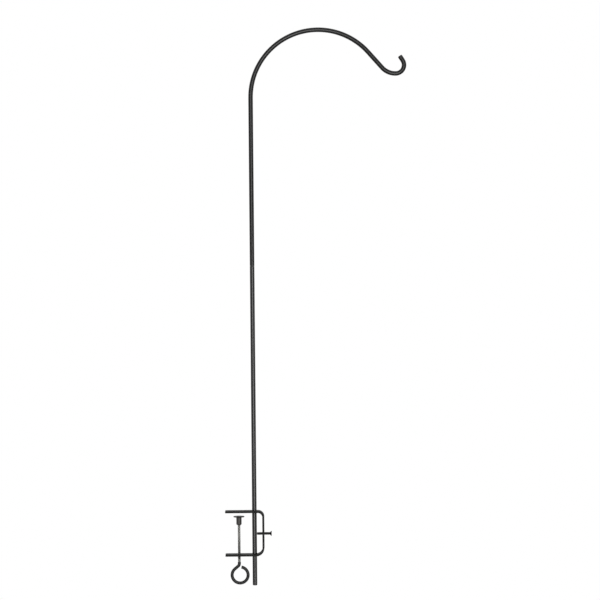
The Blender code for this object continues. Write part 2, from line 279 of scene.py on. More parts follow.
def piece(name, bm, body, nodes, material):
    """A finished object from a closed bmesh, which is merged and turned face out first."""
    bmesh.ops.remove_doubles(bm, verts=bm.verts, dist=MERGE)
    bmesh.ops.recalc_face_normals(bm, faces=bm.faces)
    return plain_piece(name, bm, body, nodes, material)


def plain_piece(name, bm, body, nodes, material):
    """A finished object from a bmesh as it is: it rides on its body and stands for its nodes."""
    mesh = bpy.data.meshes.new(name)
    bm.to_mesh(mesh)
    bm.free()
    mesh.shade_smooth()
    mesh.set_sharp_from_angle(angle=SHARP_ANGLE)
    mesh.materials.append(material)
    obj = bpy.data.objects.new(name, mesh)
    bpy.context.scene.collection.objects.link(obj)
    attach(obj, body)
    if nodes:
        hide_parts(*nodes)
    return obj


def edges_in(geometry):
    """The edges among mixed mesh elements."""
    return [g for g in geometry if isinstance(g, bmesh.types.BMEdge)]


def verts_in(geometry):
    """The vertices among mixed mesh elements."""
    return [g for g in geometry if isinstance(g, bmesh.types.BMVert)]


def everything(bm):
    """All of a bmesh, as an operator's geometry."""
    return bm.verts[:] + bm.edges[:] + bm.faces[:]


def verts_of(edges):
    """The vertices of some edges, each once, in the same order every run."""
    return list(dict.fromkeys(v for e in edges for v in e.verts))


def middle_of(edges):
    """The middle of a ring of edges."""
    verts = verts_of(edges)
    return sum((v.co for v in verts), Vector()) / len(verts)


def ring(bm, place, radius):
    """A level ring of edges round a point."""
    made = bmesh.ops.create_circle(
        bm, cap_ends=False, radius=radius, segments=RING_SIDES, matrix=Matrix.Translation(place)
    )
    return list(dict.fromkeys(e for v in made["verts"] for e in v.link_edges))


def grow(bm, edges, along):
    """Extrudes edges, moves the new ones, and returns those."""
    made = bmesh.ops.extrude_edge_only(bm, edges=edges)["geom"]
    moved = verts_in(made)
    bmesh.ops.translate(bm, verts=moved, vec=along)
    return [e for e in edges_in(made) if all(v in moved for v in e.verts)]


def run(bm, edges, along):
    """Grows a straight wall with a band at each end."""
    band = along.normalized() * BAND
    for part in (band, along - 2 * band, band):
        edges = grow(bm, edges, part)
    return edges


def shrink(bm, edges, centre, factor):
    """Scales a ring of edges about a point."""
    place = Matrix.Translation(-centre)
    bmesh.ops.scale(bm, verts=verts_of(edges), vec=(factor, factor, factor), space=place)


def swing(bm, edges, centre, angle, step):
    """Spins edges round a line along Y through a point. A positive angle lifts what points along +X."""
    steps = max(2, math.ceil(abs(angle) / step))
    made = bmesh.ops.spin(
        bm, geom=edges, cent=centre, axis=-Y_AXIS, dvec=(0, 0, 0), angle=angle, steps=steps, use_merge=False
    )
    return edges_in(made["geom_last"])


def bevelled(bm, geometry, width, steps, affect="EDGES"):
    """Rounds edges or corners to an arc, and returns what the bevel made."""
    return bmesh.ops.bevel(
        bm, geom=geometry, offset=width, segments=steps, profile=0.5, affect=affect, material=-1
    )


def close_end(bm, edges, rounding):
    """Caps a ring and rounds its rim. Returns the cap."""
    cap = bmesh.ops.contextual_create(bm, geom=edges)["faces"][0]
    if rounding:
        middle = cap.calc_center_median()
        bevelled(bm, list(cap.edges), rounding, RIM_STEPS)
        cap = min(bm.faces, key=lambda f: (f.calc_center_median() - middle).length)
    return cap


def bore(bm, cap, radius, depth):
    """Sinks a blind hole with a drilled point into a round cap."""
    normal = cap.normal.copy()
    middle = cap.calc_center_median()
    wide = (cap.verts[0].co - middle).length
    bmesh.ops.inset_region(bm, faces=[cap], thickness=wide - radius, use_even_offset=True)
    floor = bmesh.ops.extrude_discrete_faces(bm, faces=[cap])["faces"][0]
    bmesh.ops.translate(bm, verts=floor.verts, vec=-depth * normal)
    point = bmesh.ops.poke(bm, faces=[floor])["verts"]
    bmesh.ops.translate(bm, verts=point, vec=-math.tan(DRILL_SLOPE) * radius * normal)


def profile_line(bm, profile):
    """A line through points given by radius and height, ready for a spin about Z."""
    spots = [bm.verts.new((r, 0, z)) for r, z in profile]
    return [bm.edges.new(pair) for pair in zip(spots, spots[1:])] + spots


def spun(bm, profile, sides=RING_SIDES):
    """A turned shape: a profile of (radius, height) spun a full turn about Z."""
    bmesh.ops.spin(
        bm,
        geom=profile_line(bm, profile),
        cent=(0, 0, 0),
        axis=Z_AXIS,
        dvec=(0, 0, 0),
        angle=math.tau,
        steps=sides,
        use_merge=True,
    )
    bmesh.ops.remove_doubles(bm, verts=bm.verts, dist=MERGE)


def on_ring(spot, radius, height):
    """Whether a spot lies at a radius from the Z axis and at a height."""
    return abs(spot.z - height) < MERGE and abs(spot.xy.length - radius) < MERGE


def ease_ring(bm, radius, height, width):
    """Rounds the edge that runs round a turned shape at a radius and a height."""
    around = [e for e in bm.edges if all(on_ring(v.co, radius, height) for v in e.verts)]
    bevelled(bm, around, width, RIM_STEPS)


def helix(bm, radius, depth, pitch, low, high):
    """A rolled right-hand thread about Z: one turn, stacked turn on turn, then cut flat at both ends."""
    root = radius - depth
    start = low - SPARE_TURNS * pitch
    crest_start = (ROOT_SHARE + FLANK_SHARE) * pitch
    heights = (0, ROOT_SHARE * pitch, crest_start, crest_start + CREST_SHARE * pitch, pitch)
    profile = [(r, start + z) for r, z in zip((root, root, radius, radius, root), heights)]
    bmesh.ops.spin(
        bm,
        geom=profile_line(bm, profile),
        cent=(0, 0, 0),
        axis=Z_AXIS,
        dvec=(0, 0, pitch / THREAD_SIDES),
        angle=math.tau,
        steps=THREAD_SIDES,
        use_merge=False,
    )
    turn_round = everything(bm)
    for k in range(1, math.ceil((high - low) / pitch) + SPARE_TURNS + 1):
        stacked = bmesh.ops.duplicate(bm, geom=turn_round)["geom"]
        bmesh.ops.translate(bm, verts=verts_in(stacked), vec=(0, 0, k * pitch))
    bmesh.ops.remove_doubles(bm, verts=bm.verts, dist=MERGE)
    for height, up in ((high, 1), (low, -1)):
        bmesh.ops.bisect_plane(
            bm,
            geom=everything(bm),
            dist=MERGE,
            plane_co=(0, 0, height),
            plane_no=(0, 0, up),
            clear_outer=True,
        )
        rim = [e for e in bm.edges if e.is_boundary and all(abs(v.co.z - height) < MERGE for v in e.verts)]
        bmesh.ops.contextual_create(bm, geom=rim)
    bmesh.ops.recalc_face_normals(bm, faces=bm.faces)


def add_node(tree, kind, inputs=None, **settings):
    """A new node with values on its inputs and settings of its own."""
    node = tree.nodes.new(kind)
    for name, value in settings.items():
        setattr(node, name, value)
    for name, value in (inputs or {}).items():
        node.inputs[name].default_value = value
    return node


def object_place(tree, centre=(0, 0, 0), rotation=(0, 0, 0)):
    """Object coordinates, moved so that a piece's own axis is the pattern's Z."""
    coordinates = add_node(tree, "ShaderNodeTexCoord")
    mapping = add_node(tree, "ShaderNodeMapping", vector_type="TEXTURE")
    mapping.inputs["Location"].default_value = centre
    mapping.inputs["Rotation"].default_value = rotation
    tree.links.new(coordinates.outputs["Object"], mapping.inputs["Vector"])
    return mapping.outputs["Vector"]


def noise(tree, place, scale, detail, roughness=0.55):
    """Noise of a scale per metre."""
    node = add_node(tree, "ShaderNodeTexNoise", {"Scale": scale, "Detail": detail, "Roughness": roughness})
    tree.links.new(place, node.inputs["Vector"])
    return node.outputs["Fac"]


def spread(tree, value, low, high, start=NOISE_LOW, end=NOISE_HIGH):
    """A value between a start and an end, brought between two numbers."""
    inputs = {"From Min": start, "From Max": end, "To Min": low, "To Max": high}
    node = add_node(tree, "ShaderNodeMapRange", inputs)
    tree.links.new(value, node.inputs["Value"])
    return node.outputs["Result"]


def tones(tree, value, dark, light):
    """A noise as a colour between two tones."""
    ramp = add_node(tree, "ShaderNodeValToRGB")
    ends = zip(ramp.color_ramp.elements, (NOISE_LOW, NOISE_HIGH), (dark, light))
    for element, position, tone in ends:
        element.position = position
        element.color = (*tone, 1)
    tree.links.new(value, ramp.inputs["Fac"])
    return ramp.outputs["Color"]


def blend(tree, factor, first, second):
    """A colour between two others, each of them a tone or a node's output."""
    node = add_node(tree, "ShaderNodeMix", data_type="RGBA")
    tree.links.new(factor, node.inputs["Factor"])
    for socket, part in ((MIX_A, first), (MIX_B, second)):
        if isinstance(part, bpy.types.NodeSocket):
            tree.links.new(part, node.inputs[socket])
        else:
            node.inputs[socket].default_value = (*part, 1)
    return node.outputs[MIX_RESULT]


def arithmetic(tree, operation, first, second):
    """Two values worked into one, such as by MULTIPLY or MAXIMUM."""
    node = add_node(tree, "ShaderNodeMath", operation=operation)
    tree.links.new(first, node.inputs[0])
    tree.links.new(second, node.inputs[1])
    return node.outputs["Value"]


def bumps(tree, layers):
    """Several heights as one bumped normal: each layer is a value, its height in metres and its strength."""
    normal = None
    for value, distance, strength in layers:
        node = add_node(tree, "ShaderNodeBump", {"Distance": distance, "Strength": strength})
        tree.links.new(value, node.inputs["Height"])
        if normal:
            tree.links.new(normal, node.inputs["Normal"])
        normal = node.outputs["Normal"]
    return normal


def scaled(tone, factor):
    """A tone made darker or lighter."""
    return tuple(min(1.0, part * factor) for part in tone)


def material_tree(name, metallic, specular):
    """A new material with constants on its shader. Returns it, its node tree and the shader."""
    material = bpy.data.materials.new(name)
    material.use_nodes = True
    shader = material.node_tree.nodes["Principled BSDF"]
    shader.inputs["Metallic"].default_value = metallic
    shader.inputs["Specular IOR Level"].default_value = specular
    return material, material.node_tree, shader


def powder_coat(name, tone, specular, roughness, relief):
    """Powder coat: orange peel, a fine grain of powder, and faint cloudy changes of tone and gloss."""
    material, tree, shader = material_tree(name, metallic=0.0, specular=specular)
    place = object_place(tree)
    cloud = noise(tree, place, scale=45.0, detail=4.0)
    peel = noise(tree, place, scale=520.0, detail=2.0, roughness=0.45)
    grain = noise(tree, place, scale=3600.0, detail=2.0)
    tree.links.new(tones(tree, cloud, scaled(tone, 0.86), scaled(tone, 1.14)), shader.inputs["Base Color"])
    tree.links.new(spread(tree, cloud, *roughness), shader.inputs["Roughness"])
    normal = bumps(tree, [(peel, PEEL_HEIGHT, relief), (grain, GRAIN_HEIGHT, relief)])
    tree.links.new(normal, shader.inputs["Normal"])
    return material


def rod_coat(name, tone, shine):
    """The smooth satin coat that both rods carry."""
    return powder_coat(name, tone, specular=shine, roughness=(0.17, 0.23), relief=0.25)


def bar_coat(name, tone):
    """The duller, rougher coat of the bracket."""
    return powder_coat(name, tone, specular=0.1, roughness=(0.6, 0.68), relief=0.6)


def dip_coat(name, tone):
    """A thick, soft black coat with slow waves from dipping and a few fine pits."""
    material, tree, shader = material_tree(name, metallic=0.0, specular=0.2)
    place = object_place(tree)
    wave = noise(tree, place, scale=160.0, detail=2.0)
    pits = noise(tree, place, scale=1900.0, detail=3.0)
    tree.links.new(tones(tree, wave, scaled(tone, 0.85), scaled(tone, 1.2)), shader.inputs["Base Color"])
    tree.links.new(spread(tree, pits, low=0.38, high=0.5), shader.inputs["Roughness"])
    normal = bumps(tree, [(wave, WAVE_HEIGHT, 0.4), (pits, PIT_HEIGHT, 0.4)])
    tree.links.new(normal, shader.inputs["Normal"])
    return material


def zinc_plate(name, tone, radius, depth):
    """Dull zinc on a rolled thread: mottled plate on the crests, with painted shade darkening the roots."""
    material, tree, shader = material_tree(name, metallic=1.0, specular=0.5)
    place = object_place(tree)
    mottle = noise(tree, place, scale=900.0, detail=4.0)
    streaks = noise(tree, place, scale=5200.0, detail=2.0)
    flat = add_node(tree, "ShaderNodeVectorMath", operation="MULTIPLY")
    flat.inputs[1].default_value = (1, 1, 0)
    reach = add_node(tree, "ShaderNodeVectorMath", operation="LENGTH")
    tree.links.new(place, flat.inputs[0])
    tree.links.new(flat.outputs["Vector"], reach.inputs[0])
    height = spread(tree, reach.outputs["Value"], low=0, high=1, start=radius - depth, end=radius)
    plate = tones(tree, mottle, scaled(tone, 0.8), scaled(tone, 1.12))
    # Painted shade: the roots of the thread are darker than its crests
    tree.links.new(blend(tree, height, scaled(tone, 0.32), plate), shader.inputs["Base Color"])
    tree.links.new(spread(tree, mottle, low=0.42, high=0.58), shader.inputs["Roughness"])
    normal = bumps(tree, [(mottle, MOTTLE_HEIGHT, 0.4), (streaks, STREAK_HEIGHT, 0.5)])
    tree.links.new(normal, shader.inputs["Normal"])
    return material


def painted_arm_shade(material, tone, top, middle, low):
    """Darkens a thread round its tapped hole with painted shade from the lower arm, most at the middle
    height.
    """
    tree = material.node_tree
    base = tree.nodes["Principled BSDF"].inputs["Base Color"]
    clean = base.links[0].from_socket
    height = add_node(tree, "ShaderNodeSeparateXYZ")
    tree.links.new(object_place(tree), height.inputs["Vector"])
    above = spread(tree, height.outputs["Z"], low=0.95, high=0, start=middle, end=top)
    below = spread(tree, height.outputs["Z"], low=0, high=1, start=low, end=middle)
    # Painted shade: strongest just below the lower arm, fading upwards and downwards
    shade_mask = arithmetic(tree, "MULTIPLY", above, below)
    tree.links.new(blend(tree, shade_mask, clean, scaled(tone, 0.1)), base)


def black_oxide(name, tone, centre=(0, 0, 0), rotation=(0, 0, 0)):
    """Blackened turned steel: fine lathe rings, a brown cast in patches and a dull gleam."""
    material, tree, shader = material_tree(name, metallic=0.35, specular=0.4)
    place = object_place(tree, centre, rotation)
    patch = noise(tree, place, scale=420.0, detail=4.0)
    speck = noise(tree, place, scale=3600.0, detail=2.0)
    rings = add_node(
        tree,
        "ShaderNodeTexWave",
        {"Scale": 900.0, "Distortion": 1.2, "Detail": 2.0, "Detail Scale": 3.0},
        wave_type="RINGS",
        rings_direction="Z",
    )
    tree.links.new(place, rings.inputs["Vector"])
    brown = (tone[0] * 1.22, tone[1] * 1.1, tone[2])
    tree.links.new(tones(tree, patch, scaled(tone, 0.8), brown), shader.inputs["Base Color"])
    tree.links.new(spread(tree, patch, low=0.36, high=0.54), shader.inputs["Roughness"])
    normal = bumps(tree, [(rings.outputs["Fac"], LATHE_HEIGHT, 0.5), (speck, GRAIN_HEIGHT, 0.5)])
    tree.links.new(normal, shader.inputs["Normal"])
    return material


class DECKHOOK_OT_crook(bpy.types.Operator):
    """Bend the upper rod into the crook and the open hook"""

    bl_idname = "deckhook.crook"
    bl_label = "Crook"

    def execute(self, context):
        rod = context.scene.deck_hook_rod
        step = rod.bend_step
        start = Vector((POLE_X, 0, CROOK_LOW.z))
        bend_z = CROOK_HIGH.z - ROD_RADIUS - rod.crook_radius
        bm = bmesh.new()
        first = ring(bm, start, ROD_RADIUS)
        last = run(bm, first, Z_AXIS * (bend_z - CROOK_LOW.z))

        # The big bend turns down from straight up, and the heading is the rod's direction as it goes
        centre = Vector((POLE_X + rod.crook_radius, 0, bend_z))
        last = swing(bm, last, centre, -rod.crook_turn, step)
        heading = math.pi / 2 - rod.crook_turn
        along = Vector((math.cos(heading), 0, math.sin(heading)))
        last = run(bm, last, along * rod.crook_run)
        for radius, angle in ((rod.ease_radius, rod.ease_turn), (rod.hook_radius, rod.hook_turn)):
            left = Vector((-math.sin(heading), 0, math.cos(heading)))
            last = swing(bm, last, middle_of(last) + left * radius, angle, step)
            heading += angle
        along = Vector((math.cos(heading), 0, math.sin(heading)))
        last = run(bm, last, along * rod.hook_tip)
        close_end(bm, last, rod.end_round)
        seam = close_end(bm, first, rod.seam_round)
        bmesh.ops.recalc_face_normals(bm, faces=bm.faces)
        bore(bm, seam, rod.bore_radius, rod.bore_depth)
        finishes = context.scene.deck_hook_finishes
        coat = rod_coat("Powder coat on the crook", finishes.coat, finishes.crook_shine)
        piece("crook_rod", bm, "crook", ["crook"], coat)
        return {"FINISHED"}


class DECKHOOK_OT_lower_pole(bpy.types.Operator):
    """Make the straight rod that goes through the bracket"""

    bl_idname = "deckhook.lower_pole"
    bl_label = "Lower pole"

    def execute(self, context):
        rod = context.scene.deck_hook_rod
        bm = bmesh.new()
        first = ring(bm, Vector((POLE_X, 0, POLE_LOW.z)), ROD_RADIUS)
        last = run(bm, first, Z_AXIS * (SEAM_Z - POLE_LOW.z))
        close_end(bm, first, rod.end_round)
        seam = close_end(bm, last, rod.seam_round)
        bmesh.ops.recalc_face_normals(bm, faces=bm.faces)
        bore(bm, seam, rod.bore_radius, rod.bore_depth)
        finishes = context.scene.deck_hook_finishes
        coat = rod_coat("Powder coat on the pole", finishes.coat, finishes.pole_shine)
        piece("lower_rod", bm, "pole", ["lower_pole"], coat)
        return {"FINISHED"}


class DECKHOOK_OT_stud(bpy.types.Operator):
    """Finish the stud inside the seam of the two rods"""

    bl_idname = "deckhook.stud"
    bl_label = "Stud"

    def execute(self, context):
        low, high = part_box("pole_stud")
        radius = (high.x - low.x) / 2
        sizes = context.scene.deck_hook_clamp
        bm = bmesh.new()
        helix(bm, radius, sizes.thread_depth, sizes.pitch, low.z, high.z)
        bmesh.ops.translate(bm, verts=bm.verts, vec=(POLE_X, 0, 0))
        zinc = zinc_plate("Zinc plate on the stud", context.scene.deck_hook_finishes.zinc, radius, radius)
        plain_piece("stud_thread", bm, "pole", ["pole_stud"], zinc)
        return {"FINISHED"}


class DECKHOOK_OT_bracket(bpy.types.Operator):
    """Cut the flat pattern of the bracket, bore it, fold it and give it its thickness"""

    bl_idname = "deckhook.bracket"
    bl_label = "Bracket"

    def execute(self, context):
        sizes = context.scene.deck_hook_bracket
        wall = BAR_HIGH.z
        jaw = -BAR_LOW.z - wall
        back = BAR_HIGH.x - wall
        bends = (sizes.upper_bend, sizes.lower_bend)
        half_fold = math.pi / 2 / sizes.folds / 2
        chords = [2 * radius * math.sin(half_fold) for radius in bends]
        upper_flat = back - BAR_LOW.x - sizes.upper_bend
        upright = jaw - sum(bends)
        lower_flat = back - BAR_LOW.x - sizes.lower_bend
        bend_starts = (upper_flat, upper_flat + chords[0] * sizes.folds + upright)
        whole = bend_starts[1] + chords[1] * sizes.folds + lower_flat

        # Stations along the flat pattern, from the upper arm's tip, and the radius of the hole at each
        to_pole = POLE_X - BAR_LOW.x
        upright_top = upper_flat + chords[0] * sizes.folds
        holes = [
            (to_pole, sizes.pole_hole),
            (upright_top + (-SET_Z - sizes.upper_bend), sizes.set_hole),
            (whole - to_pole, sizes.pole_hole),
            (whole + BAR_LOW.x, sizes.clamp_hole),
        ]
        bm = self.flat_pattern(whole, BAR_HIGH.y, holes, sizes.corner)
        self.fold(bm, bend_starts, chords, sizes.folds, half_fold)
        bmesh.ops.translate(bm, verts=bm.verts, vec=(BAR_LOW.x, 0, 0))
        bmesh.ops.recalc_face_normals(bm, faces=bm.faces)
        # The sheet is the jaw side, and its wall grows outwards, so the upper arm has to face up
        top = max(bm.faces, key=lambda f: f.calc_center_median().z - abs(f.calc_center_median().x))
        if top.normal.z < 0:
            bmesh.ops.reverse_faces(bm, faces=bm.faces)
        tone = context.scene.deck_hook_finishes.bar_coat
        coat = bar_coat("Powder coat on the bracket", tone)
        bar = plain_piece("bent_bar", bm, "bracket", ["bracket"], coat)
        thick = bar.modifiers.new("Bar", "SOLIDIFY")
        thick.thickness = wall
        thick.offset = 1
        thick.use_even_offset = True
        eased = bar.modifiers.new("Eased edges", "BEVEL")
        eased.width = sizes.edge
        eased.segments = EDGE_STEPS
        eased.limit_method = "ANGLE"
        eased.angle_limit = EASED_ANGLE
        eased.harden_normals = True
        return {"FINISHED"}

    def flat_pattern(self, whole, half_width, holes, corner):
        """The bar's jaw side laid out flat from X = 0, with its holes and rounded corners."""
        bm = bmesh.new()
        stations = sorted([0, whole] + [at for at, _ in holes])
        spots = [bm.verts.new((x, -half_width, 0)) for x in stations]
        line = [bm.edges.new(pair) for pair in zip(spots, spots[1:])]
        for _ in range(2):
            line = grow(bm, line, (0, half_width, 0))
        for at, radius in holes:
            centre = Vector((at, 0, 0))
            middle = [v for v in bm.verts if (v.co - centre).length < MERGE]
            inside = bevelled(bm, middle, radius, 1, "VERTICES")["faces"]
            sides = [e for f in inside for e in f.edges]
            bmesh.ops.delete(bm, geom=inside, context="FACES")
            rim = bmesh.ops.subdivide_edges(bm, edges=sides, cuts=HOLE_CUTS)["geom_inner"]
            for vert in verts_in(rim):
                vert.co = centre + (vert.co - centre).normalized() * radius
        at_ends = [v for v in bm.verts if min(v.co.x, whole - v.co.x) < MERGE]
        corners = [v for v in at_ends if abs(v.co.y) > half_width - MERGE]
        bevelled(bm, corners, corner, CORNER_STEPS, "VERTICES")
        return bm

    def fold(self, bm, starts, chords, folds, half_fold):
        """Folds the flat pattern down at every line of both bends, the furthest line first."""
        lines = []
        band_ends = []
        for start, chord in zip(starts, chords):
            for k in range(folds + 1):
                lines.append((start + k * chord, half_fold * (1 if k in (0, folds) else 2)))
            band_ends += [start - BAND, start + folds * chord + BAND]
        for at in band_ends + [at for at, _ in lines]:
            bmesh.ops.bisect_plane(
                bm, geom=everything(bm), dist=MERGE, plane_co=(at, 0, 0), plane_no=(1, 0, 0)
            )
        station = {v: v.co.x for v in bm.verts}
        for at, angle in reversed(lines):
            beyond = [v for v in bm.verts if station[v] > at + MERGE]
            bmesh.ops.rotate(bm, verts=beyond, cent=(at, 0, 0), matrix=Matrix.Rotation(angle, 3, "Y"))


class DECKHOOK_OT_clamp_screw(bpy.types.Operator):
    """Roll the thread of the clamp screw and bend its black eye"""

    bl_idname = "deckhook.clamp_screw"
    bl_label = "Clamp screw"

    def execute(self, context):
        sizes = context.scene.deck_hook_clamp
        finishes = context.scene.deck_hook_finishes
        dip = BAR_LOW.z - sizes.dip_line
        dipped = WIRE_RADIUS + sizes.dip_coat
        # The thread runs on into the coat by the wire's radius
        thread_end = dip - WIRE_RADIUS
        bm = bmesh.new()
        helix(bm, sizes.thread_radius, sizes.thread_depth, sizes.pitch, thread_end, EYE_HIGH.z)
        zinc = zinc_plate("Zinc plate on the thread", finishes.zinc, sizes.thread_radius, sizes.thread_depth)
        # Painted shade from the lower arm darkens the thread round it, most just below the arm
        middle = BAR_LOW.z - sizes.shade_drop / 2
        painted_arm_shade(zinc, finishes.zinc, BAR_LOW.z + sizes.shade_rise, middle, BAR_LOW.z - sizes.shade_drop)
        plain_piece("clamp_thread", bm, "clamp_screw", ["clamp_screw"], zinc)

        # The neck bends away to the left and runs straight into the eye, tangent to both bends
        reach = sizes.neck_radius + EYE_RADIUS
        drop = math.sqrt(reach**2 + sizes.neck_run**2 - (sizes.neck_radius + EYE_X) ** 2)
        neck_z = EYE_Z + drop
        neck_turn = math.atan2(drop, sizes.neck_radius + EYE_X) - math.atan2(sizes.neck_run, reach)
        step = sizes.bend_step
        bm = bmesh.new()
        first = ring(bm, Vector((0, 0, dip)), dipped)
        last = grow(bm, first, (0, 0, neck_z - dip))
        last = swing(bm, last, Vector((-sizes.neck_radius, 0, neck_z)), -neck_turn, step)
        last = run(bm, last, Vector((-math.sin(neck_turn), 0, -math.cos(neck_turn))) * sizes.neck_run)
        last = swing(bm, last, Vector((EYE_X, 0, EYE_Z)), math.pi + neck_turn + sizes.mouth, step)
        close_end(bm, last, WIRE_RADIUS * EYE_END_SHARE)
        close_end(bm, first, dipped - sizes.thread_radius)
        black = dip_coat("Dip coat on the eye", finishes.dip)
        piece("clamp_eye", bm, "clamp_screw", [], black)
        return {"FINISHED"}


class DECKHOOK_OT_socket(bpy.types.Operator):
    """Turn the pressure plate and the socket that carries it"""

    bl_idname = "deckhook.socket"
    bl_label = "Plate and socket"

    def execute(self, context):
        sizes = context.scene.deck_hook_clamp
        finishes = context.scene.deck_hook_finishes
        self.make_plate(sizes, black_oxide("Black oxide on the plate", finishes.dark_oxide))
        self.make_socket(sizes, black_oxide("Black oxide on the socket", finishes.oxide))
        return {"FINISHED"}

    def make_plate(self, sizes, material):
        """A pressed disc with a rounded rim and a countersunk hole for the rivet."""
        radius, top, under = PLATE_HIGH.x, PLATE_HIGH.z, PLATE_LOW.z
        hole = sizes.plate_hole
        profile = [(hole, under), (hole, top - sizes.flare), (hole + sizes.flare, top)]
        profile += [(radius, top), (radius, under), (hole, under)]
        bm = bmesh.new()
        spun(bm, profile, TURNED_SIDES)
        for height in (top, under):
            ease_ring(bm, radius, height, sizes.plate_edge)
        piece("plate_disc", bm, "plate", ["pressure_plate"], material)

    def make_socket(self, sizes, material):
        """A sleeve with a rounded shoulder, a crimped lip, and the rivet that holds the plate."""
        radius, rivet_top, mouth = SOCKET_HIGH.x, SOCKET_HIGH.z, SOCKET_LOW.z
        shoulder_z = PLATE_LOW.z - sizes.play
        hole = sizes.thread_radius + sizes.slack
        roof = EYE_HIGH.z + sizes.slack
        profile = [(0, rivet_top), (sizes.rivet_head, rivet_top), (sizes.rivet, rivet_top - sizes.play)]
        profile += [(sizes.rivet, shoulder_z), (radius, shoulder_z), (radius, mouth + sizes.lip)]
        profile += [(hole + sizes.lip_wall, mouth), (hole, mouth + sizes.lip_wall), (hole, roof), (0, roof)]
        bm = bmesh.new()
        spun(bm, profile, TURNED_SIDES)
        ease_ring(bm, radius, shoulder_z, sizes.shoulder)
        ease_ring(bm, radius, mouth + sizes.lip, sizes.lip_wall)
        piece("socket_sleeve", bm, "socket", ["swivel_socket"], material)


class DECKHOOK_OT_pole_screw(bpy.types.Operator):
    """Roll the thread of the pole screw and form its countersunk head with a cross recess"""

    bl_idname = "deckhook.pole_screw"
    bl_label = "Pole screw"

    def execute(self, context):
        sizes = context.scene.deck_hook_pole_screw
        whole = SET_HIGH.x - SET_LOW.x
        head_radius = SET_HIGH.y
        finish = context.scene.deck_hook_finishes.dark_oxide
        lie_down = Matrix.Rotation(math.pi / 2, 3, "Y")
        place = Vector((SET_LOW.x, 0, SET_Z))

        bm = bmesh.new()
        under_head = whole - sizes.head_height
        helix(bm, sizes.thread_radius, sizes.thread_depth, sizes.pitch, sizes.point, under_head + sizes.pitch)
        # The plain point reaches a little way up inside the thread
        root = sizes.thread_radius - sizes.thread_depth
        inside = 2 * sizes.point
        spun(bm, [(0, 0), (root - sizes.point / 2, 0), (root, sizes.point), (root, inside), (0, inside)])
        self.add_head(bm, sizes, whole, head_radius, under_head)
        bmesh.ops.rotate(bm, verts=bm.verts, cent=(0, 0, 0), matrix=lie_down)
        bmesh.ops.translate(bm, verts=bm.verts, vec=place)
        material = black_oxide("Black oxide on the pole screw", finish, place, (0, math.pi / 2, 0))
        piece("pole_screw_body", bm, "pole_screw", ["pole_screw"], material)
        return {"FINISHED"}

    def add_head(self, bm, sizes, whole, head_radius, under_head):
        """The countersunk head, with a cross let into its end."""
        head = bmesh.new()
        profile = [(0, under_head), (sizes.thread_radius, under_head)]
        profile += [(head_radius, whole - sizes.head_land), (head_radius, whole), (sizes.recess_face, whole)]
        spun(head, profile)
        ease_ring(head, head_radius, whole, sizes.head_edge)
        rim = [e for e in head.edges if e.is_boundary]
        half = sizes.recess_width / 2
        reach = sizes.recess_face * CROSS_SHARE
        quarter = [(reach, -half), (reach, half), (half, half)]
        outline = [Matrix.Rotation(math.pi / 2 * k, 2) @ Vector(p) for k in range(4) for p in quarter]
        spots = [head.verts.new((p.x, p.y, whole)) for p in outline]
        mouth = [head.edges.new((a, b)) for a, b in zip(spots, spots[1:] + spots[:1])]
        bmesh.ops.triangle_fill(head, edges=rim + mouth, use_beauty=True)
        floor = grow(head, mouth, (0, 0, -sizes.recess_depth))
        shrink(head, floor, Vector((0, 0, whole - sizes.recess_depth)), sizes.floor_share)
        bmesh.ops.contextual_create(head, geom=floor)
        carrier = bpy.data.meshes.new("Head")
        head.to_mesh(carrier)
        head.free()
        bm.from_mesh(carrier)
        bpy.data.meshes.remove(carrier)


